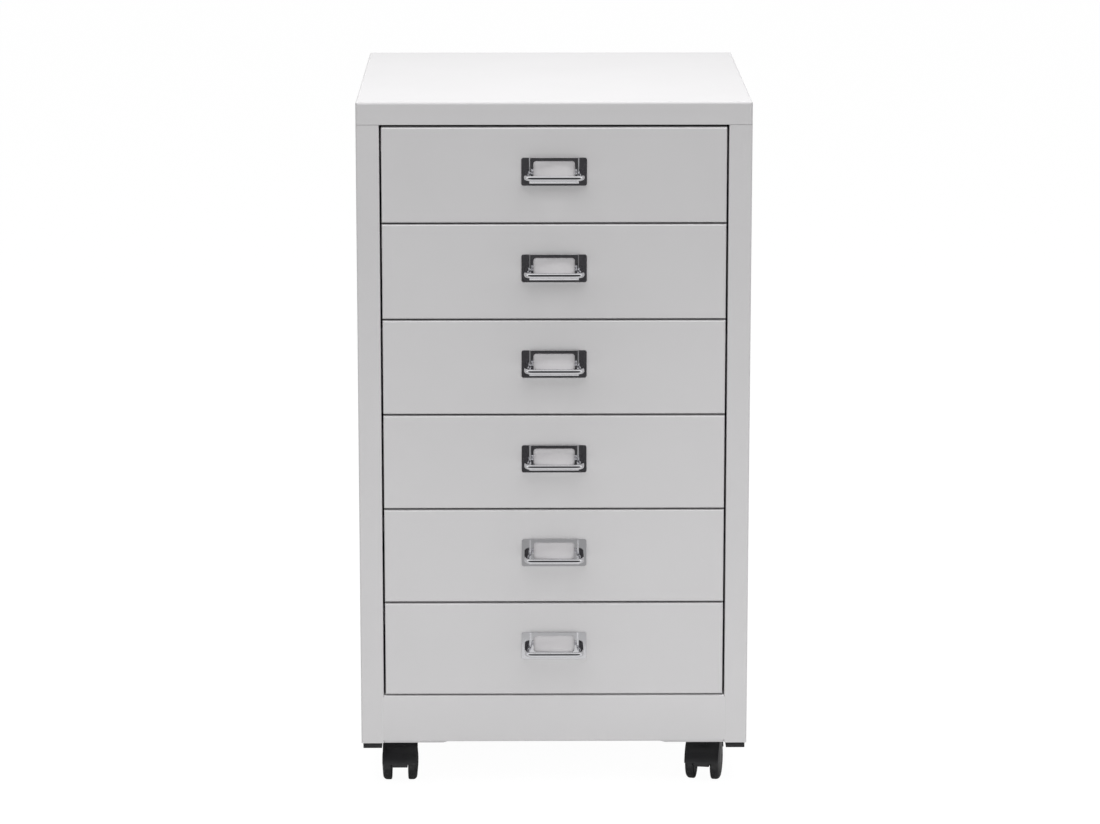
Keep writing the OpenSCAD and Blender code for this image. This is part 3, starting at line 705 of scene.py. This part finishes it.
caps_low, caps_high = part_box("foot_caps")
polythene = moulded_plastic("moulded_black_polythene", polythene_black, polythene_rough, seed=11.0)
for side in (-1, 1):
    for end_y in (caps_low.y + cap_size.y / 2, caps_high.y - cap_size.y / 2):
        middle = (side * (caps_high.x - cap_size.x / 2), end_y, caps_low.z + cap_size.z / 2)
        cap = block(middle, cap_size)
        apply_modifier(cap, "BEVEL", width=cap_round, segments=4, limit_method="ANGLE")
        smooth(cap)
        where = ("front" if end_y < 0 else "rear") + ("_left" if side < 0 else "_right")
        fit_piece(cap, f"{where}_post_plug", "case", "black_plastic", polythene, "foot_caps")

# ---- Screws of the back panel ----
# Pan-head screws of zinc-plated steel, three a side, with a cross recess that is pressed into the
# head. They hold the back panel to the case's rear flanges.

screw_sides = 32
head_radius = 3.8 * mm
head_rise = 2.2 * mm
head_round = 1.2 * mm
shank_radius = 2 * mm
shank_length = 8 * mm
recess_size = (0.9 * mm, 4.4 * mm)
recess_depth = 1.3 * mm
screw_rows = 3

screws_low, screws_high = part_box("back_screws")
screw_face = screws_high.y - head_rise
zinc_small = bright_zinc("zinc_plated_fasteners", seed=4.0)
first = Vector((screws_low.x + head_radius, screw_face, screws_low.z + head_radius))
deselect()
bpy.ops.mesh.primitive_cylinder_add(vertices=screw_sides, radius=head_radius, depth=head_rise,
                                    location=first + Vector((0, head_rise / 2, 0)),
                                    rotation=(math.radians(90), 0, 0))
screw = bpy.context.object
bpy.ops.object.transform_apply(location=True, rotation=True, scale=True)
shape(screw)
pick("EDGE", lambda p: p.y > screw_face + head_rise - tiny)
bpy.ops.mesh.bevel(offset=head_round, segments=5, affect="EDGES")
pick("FACE", lambda p: p.y < screw_face + tiny)
bpy.ops.mesh.inset(thickness=head_radius - shank_radius)
draw_out((0, -shank_length, 0))
head_top = first + Vector((0, head_rise, 0))
for width, height in (recess_size, recess_size[::-1]):
    combine(screw, block(head_top, (width, 2 * recess_depth, height)), "DIFFERENCE")
smooth(screw)
span_x = screws_high.x - screws_low.x - 2 * head_radius
span_z = screws_high.z - screws_low.z - 2 * head_radius
for side in (0, 1):
    for k in range(screw_rows):
        made = copy_moved(screw, Matrix.Translation((side * span_x, 0, span_z * k / (screw_rows - 1))))
        name = f"back_screw_{'lr'[side]}{k + 1}"
        fit_piece(made, name, "case", "zinc_plated_steel", zinc_small, "back_screws")
bpy.data.objects.remove(screw)

# ---- Castors ----
# Twin-wheel swivel castors of moulded black nylon. The hood is one moulding: a web between the
# wheels, a cover over them with a rib, and a boss that turns on a stem. The zinc-plated stems are
# screwed into the base and held by nuts.

wheel_black = "#19191b"
wheel_rough = 0.38
hood_black = "#1f1f21"
hood_rough = 0.42
wheel_radius = 20 * mm
wheel_sides = 72
tread_round = 4.2 * mm
inner_round = 1.5 * mm
wheel_in = 8.1 * mm
wheel_out = 17 * mm
bore_radius = 3.05 * mm
bore_depth = 7.35 * mm
trail = 16 * mm
hood_radius = 22.4 * mm
hood_sides = 96
hood_sheet = 1.6 * mm
hood_soft = 0.5 * mm
web_half = 7.75 * mm
web_soft = 0.6 * mm
rib_half = 4 * mm
rib_rise = 0.8 * mm
# Heights above the axle of the lower edges of the cover, the web and the rib, and of the hood's rear.
cover_edge = 1 * mm
web_edge = -2.2 * mm
rib_edge = 14 * mm
rear_edge = 8 * mm
hub_radius = 5.6 * mm
hub_sides = 48
axle_radius = 3 * mm
boss_radius = 7 * mm
pin_radius = 3.55 * mm
pin_depth = 21 * mm
bore_overrun = 1 * mm
# Heights of the boss above the floor.
boss_low = 22 * mm
boss_top = 45.5 * mm
# The rings of the wheel's outer side: how far each is set in from the last, and its rise, in mm.
wheel_rings = [(0.8, 0.1), (0.5, -0.5), (0.7, 0), (0.5, 0.6), (3.2, 0.35), (3.2, 0.25), (1.2, 0.15),
               (0.4, -0.6), (0.6, 0), (0.4, 0.6), (2.2, 0.1)]

# Each castor's name, with the point and the direction of its axle.
axles = {}
for joint in frame["record"]["behaviour"]["joints"]:
    if joint["name"].endswith("_castor_left_wheel_spin"):
        name = joint["name"].replace("_left_wheel_spin", "")
        axles[name] = (Vector(joint["pos_m"]), Vector(joint["axis"]))
axle = axles["front_left_castor"][0]
wheel_nylon = moulded_plastic("moulded_black_nylon_wheel", wheel_black, wheel_rough, seed=13.0)
hood_nylon = moulded_plastic("moulded_black_nylon_hood", hood_black, hood_rough, seed=17.0)
for name in ("castor_stems", "castor_nuts"):
    finish_node(name, zinc_small)


def bar_along_x(radius, x_from, x_to, place, sides):
    """A round bar from side to side of a castor."""
    deselect()
    bpy.ops.mesh.primitive_cylinder_add(vertices=sides, radius=radius, depth=x_to - x_from,
                                        location=Vector(place) + Vector(((x_from + x_to) / 2, 0, 0)),
                                        rotation=(0, math.radians(90), 0))
    made = bpy.context.object
    bpy.ops.object.transform_apply(location=True, rotation=True, scale=True)
    return made


wheel = bar_along_x(wheel_radius, wheel_in, wheel_out, axle, wheel_sides)
shape(wheel)
pick("EDGE", lambda p: p.x > axle.x + wheel_out - tiny)
bpy.ops.mesh.bevel(offset=tread_round, segments=6, affect="EDGES")
pick("EDGE", lambda p: p.x < axle.x + wheel_in + tiny)
bpy.ops.mesh.bevel(offset=inner_round, segments=4, affect="EDGES")
pick("FACE", lambda p: p.x < axle.x + wheel_in + tiny)
bpy.ops.mesh.inset(thickness=wheel_radius - inner_round - bore_radius)
draw_out((bore_depth, 0, 0))
pick("FACE", lambda p: p.x > axle.x + wheel_out - tiny)
for inset, rise in wheel_rings:
    bpy.ops.mesh.inset(thickness=inset * mm)
    bpy.ops.transform.translate(value=(rise * mm, 0, 0))
smooth(wheel, degrees=40)


def trim(piece, edge, soft):
    """Cuts the lower part of a hood's piece off, level before the axle and sloping behind it to the
    hood's rear, and softens its edges."""
    shape(piece)
    for slope in (0, (rear_edge - edge) / hood_radius):
        bpy.ops.mesh.select_all(action="SELECT")
        bpy.ops.mesh.bisect(plane_co=axle + Vector((0, 0, edge)), plane_no=(0, -slope, 1),
                            use_fill=True, clear_inner=True)
    apply_modifier(piece, "BEVEL", width=soft, segments=3, limit_method="ANGLE", angle_limit=sharp_edge)
    return piece


# The cover starts as a disc whose sides are inset and bridged, which leaves a ring.
hood = bar_along_x(hood_radius, -wheel_out, wheel_out, axle, hood_sides)
shape(hood)
for end in (-wheel_out, wheel_out):
    pick("FACE", lambda p: abs(p.x - axle.x - end) < tiny)
    bpy.ops.mesh.inset(thickness=hood_sheet)
    bpy.ops.mesh.delete(type="ONLY_FACE")
pick("EDGE", lambda p: math.hypot(p.y - axle.y, p.z - axle.z) < hood_radius - hood_sheet + tiny)
bpy.ops.mesh.bridge_edge_loops()
bpy.ops.mesh.select_all(action="SELECT")
bpy.ops.mesh.normals_make_consistent(inside=False)
trim(hood, cover_edge, hood_soft)
web = trim(bar_along_x(hood_radius, -web_half, web_half, axle, hood_sides), web_edge, web_soft)
rib_blank = bar_along_x(hood_radius + rib_rise, -rib_half, rib_half, axle, hood_sides)
rib = trim(rib_blank, rib_edge, hood_soft)
hub = bar_along_x(hub_radius, -web_half, web_half, axle, hub_sides)
for part in (web, rib, hub):
    combine(hood, part, "UNION")


def upright(radius, low, high):
    """A round bar along a castor's swivel axis."""
    deselect()
    bpy.ops.mesh.primitive_cylinder_add(vertices=hub_sides, radius=radius, depth=high - low,
                                        location=(axle.x, axle.y + trail, (low + high) / 2))
    return bpy.context.object


combine(hood, upright(boss_radius, boss_low, boss_top), "UNION")
combine(hood, upright(pin_radius, boss_top - pin_depth, boss_top + bore_overrun), "DIFFERENCE")
combine(hood, bar_along_x(axle_radius, -wheel_out, wheel_out, axle, hub_sides), "DIFFERENCE")
smooth(hood)

half_turn = Matrix.Rotation(math.radians(180), 4, "Z")
about = Matrix.Translation(axle) @ half_turn @ Matrix.Translation(-axle)
for name, (centre, axis) in axles.items():
    turn = Matrix.Rotation(math.atan2(axis.y, axis.x), 4, "Z")
    place = Matrix.Translation(centre) @ turn @ Matrix.Translation(-axle)
    fit_piece(copy_moved(hood, place), f"{name}_cover", name, "black_nylon", hood_nylon, f"{name}_hood")
    fit_piece(copy_moved(wheel, place), f"{name}_wheel_right", f"{name}_right_wheel", "black_wheel",
              wheel_nylon, f"{name}_right_wheel")
    fit_piece(copy_moved(wheel, place @ about), f"{name}_wheel_left", f"{name}_left_wheel", "black_wheel",
              wheel_nylon, f"{name}_left_wheel")
    finish_node(f"{name}_axle", zinc_small)
bpy.data.objects.remove(hood)
bpy.data.objects.remove(wheel)
